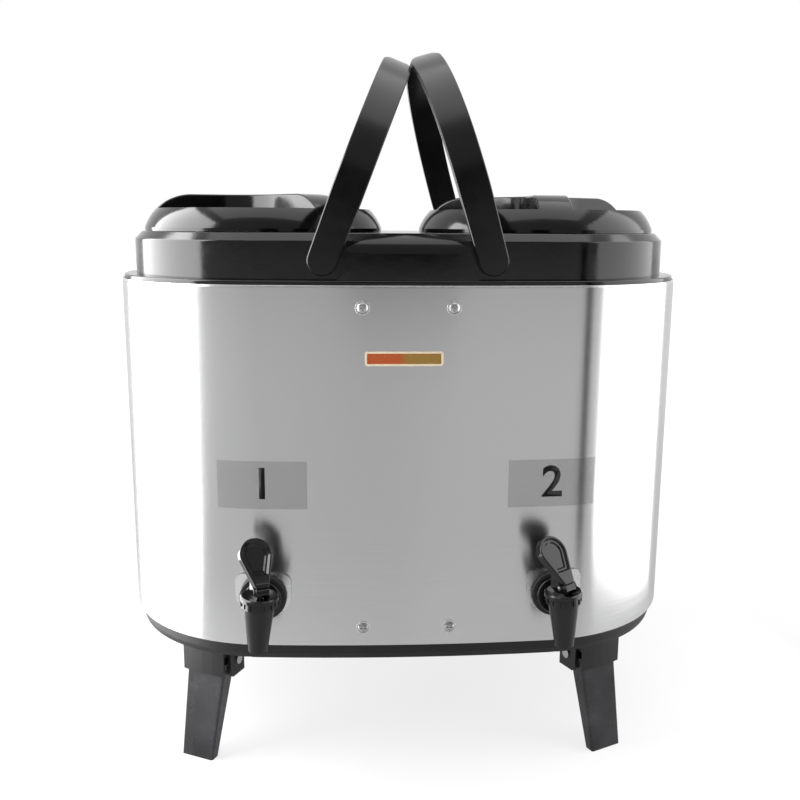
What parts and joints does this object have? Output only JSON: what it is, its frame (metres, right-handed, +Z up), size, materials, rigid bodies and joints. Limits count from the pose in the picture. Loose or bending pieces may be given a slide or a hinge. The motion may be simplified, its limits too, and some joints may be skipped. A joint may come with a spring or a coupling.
{
  "type": "insulated beverage dispenser",
  "caption": "Oblong insulated steel beverage dispenser with screw lids, swing bail handles, lever taps in front and folding legs.",
  "frame": {"origin": "middle of the bounding box, on the floor", "axes": "+Z up, -Y towards the taps and the user, +X to the right as seen from the front"},
  "size_m": [0.3998, 0.2648, 0.4843],
  "materials": {
    "brushed_jacket": "fine vertical brush",
    "tank_steel": "drawn, satin",
    "screw_steel": "plain",
    "pin_steel": "plain",
    "black_gloss_moulding": "semi gloss",
    "black_matte_moulding": "fine texture",
    "lid_plastic": "semi gloss",
    "plug_plastic": "fine texture",
    "handle_plastic": "semi gloss",
    "leg_plastic": "gloss",
    "tap_plastic": "gloss",
    "bonnet_plastic": "gloss",
    "lever_plastic": "gloss",
    "nut_plastic": "natural",
    "plate_chrome": "polished",
    "seal_rubber": "matt",
    "silicone": "translucent white",
    "foam": "rigid foam",
    "badge_enamel": "enamel",
    "label_film": "satin film"
  },
  "bodies": {
    "base": {"jacket": "brushed_jacket", "top_collar": "black_gloss_moulding", "base_pan": "black_matte_moulding", "insulation": "foam", "front_screws": "screw_steel", "back_screws": "screw_steel", "badge_plate": "badge_enamel", "front_left_leg_pin": "pin_steel", "front_right_leg_pin": "pin_steel", "back_left_leg_pin": "pin_steel", "back_right_leg_pin": "pin_steel", "left_tank": "tank_steel", "left_neck_seal": "seal_rubber", "left_tap_body": "tap_plastic", "left_tap_bonnet": "bonnet_plastic", "left_tap_washer": "seal_rubber", "left_tap_plate": "plate_chrome", "left_tap_nut": "nut_plastic", "left_tap_inner_seal": "seal_rubber", "left_label": "label_film", "right_tank": "tank_steel", "right_neck_seal": "seal_rubber", "right_tap_body": "tap_plastic", "right_tap_bonnet": "bonnet_plastic", "right_tap_washer": "seal_rubber", "right_tap_plate": "plate_chrome", "right_tap_nut": "nut_plastic", "right_tap_inner_seal": "seal_rubber", "right_label": "label_film"},
    "front_left_leg_body": {"front_left_leg": "leg_plastic"},
    "front_right_leg_body": {"front_right_leg": "leg_plastic"},
    "back_left_leg_body": {"back_left_leg": "leg_plastic"},
    "back_right_leg_body": {"back_right_leg": "leg_plastic"},
    "left_bail": {"left_handle": "handle_plastic", "left_handle_clips": "pin_steel"},
    "left_lid_seat": {"left_lid_gasket": "silicone"},
    "left_lid": {"left_lid_cover": "lid_plastic", "left_lid_plug": "plug_plastic"},
    "left_valve": {"left_tap_stem": "pin_steel", "left_tap_cup": "silicone", "left_tap_lever_pin": "pin_steel"},
    "left_lever": {"left_tap_lever": "lever_plastic"},
    "right_bail": {"right_handle": "handle_plastic", "right_handle_clips": "pin_steel"},
    "right_lid_seat": {"right_lid_gasket": "silicone"},
    "right_lid": {"right_lid_cover": "lid_plastic", "right_lid_plug": "plug_plastic"},
    "right_valve": {"right_tap_stem": "pin_steel", "right_tap_cup": "silicone", "right_tap_lever_pin": "pin_steel"},
    "right_lever": {"right_tap_lever": "lever_plastic"}
  },
  "joints": [
    {"name": "front_left_leg_fold", "type": "hinge", "parent": "base", "child": "front_left_leg_body", "pos_m": [-0.13284, -0.05959, 0.0695], "axis": [0.9026, -0.4305, 0], "range_deg": [0, 90]},
    {"name": "front_right_leg_fold", "type": "hinge", "parent": "base", "child": "front_right_leg_body", "pos_m": [0.13284, -0.05959, 0.0695], "axis": [0.9026, 0.4305, 0], "range_deg": [0, 90]},
    {"name": "back_left_leg_fold", "type": "hinge", "parent": "base", "child": "back_left_leg_body", "pos_m": [-0.13284, 0.09699, 0.0695], "axis": [-0.9026, -0.4305, 0], "range_deg": [0, 90]},
    {"name": "back_right_leg_fold", "type": "hinge", "parent": "base", "child": "back_right_leg_body", "pos_m": [0.13284, 0.09699, 0.0695], "axis": [-0.9026, 0.4305, 0], "range_deg": [0, 90]},
    {"name": "left_bail_swing", "type": "hinge", "parent": "base", "child": "left_bail", "pos_m": [-0.0539, 0.0187, 0.3452], "axis": [0, -1, 0], "range_deg": [0, 111.2]},
    {"name": "left_lid_lift", "type": "slide", "parent": "base", "child": "left_lid_seat", "axis": [0, 0, 1], "range_m": [0, 0.07]},
    {"name": "left_lid_turn", "type": "hinge", "parent": "left_lid_seat", "child": "left_lid", "pos_m": [-0.0986, 0.0187, 0.3621], "axis": [0, 0, 1], "range_deg": [0, 90]},
    {"name": "left_valve_lift", "type": "slide", "parent": "base", "child": "left_valve", "axis": [0.0471, 0, 0.9989], "range_m": [0, 0.0027]},
    {"name": "left_lever_tip", "type": "hinge", "parent": "left_valve", "child": "left_lever", "pos_m": [-0.09398, -0.1203, 0.14134], "axis": [0.8978, 0.4384, -0.0423], "range_deg": [0, 51.5], "stiffness_Nm_per_rad": 0.02, "springref_deg": -22.92},
    {"name": "right_bail_swing", "type": "hinge", "parent": "base", "child": "right_bail", "pos_m": [0.0539, 0.0187, 0.3452], "axis": [0, 1, 0], "range_deg": [0, 106.4]},
    {"name": "right_lid_lift", "type": "slide", "parent": "base", "child": "right_lid_seat", "axis": [0, 0, 1], "range_m": [0, 0.07]},
    {"name": "right_lid_turn", "type": "hinge", "parent": "right_lid_seat", "child": "right_lid", "pos_m": [0.0986, 0.0187, 0.3621], "axis": [0, 0, 1], "range_deg": [0, 90]},
    {"name": "right_valve_lift", "type": "slide", "parent": "base", "child": "right_valve", "axis": [-0.0558, 0, 0.9984], "range_m": [0, 0.0027]},
    {"name": "right_lever_tip", "type": "hinge", "parent": "right_valve", "child": "right_lever", "pos_m": [0.09844, -0.1203, 0.14134], "axis": [0.8277, 0.5592, 0.0463], "range_deg": [0, 51.5], "stiffness_Nm_per_rad": 0.02, "springref_deg": -22.92}
  ],
  "couplings": [
    {"joint": "left_valve_lift", "follows": "left_lever_tip", "m_per_rad": 0.003},
    {"joint": "right_valve_lift", "follows": "right_lever_tip", "m_per_rad": 0.003}
  ]
}
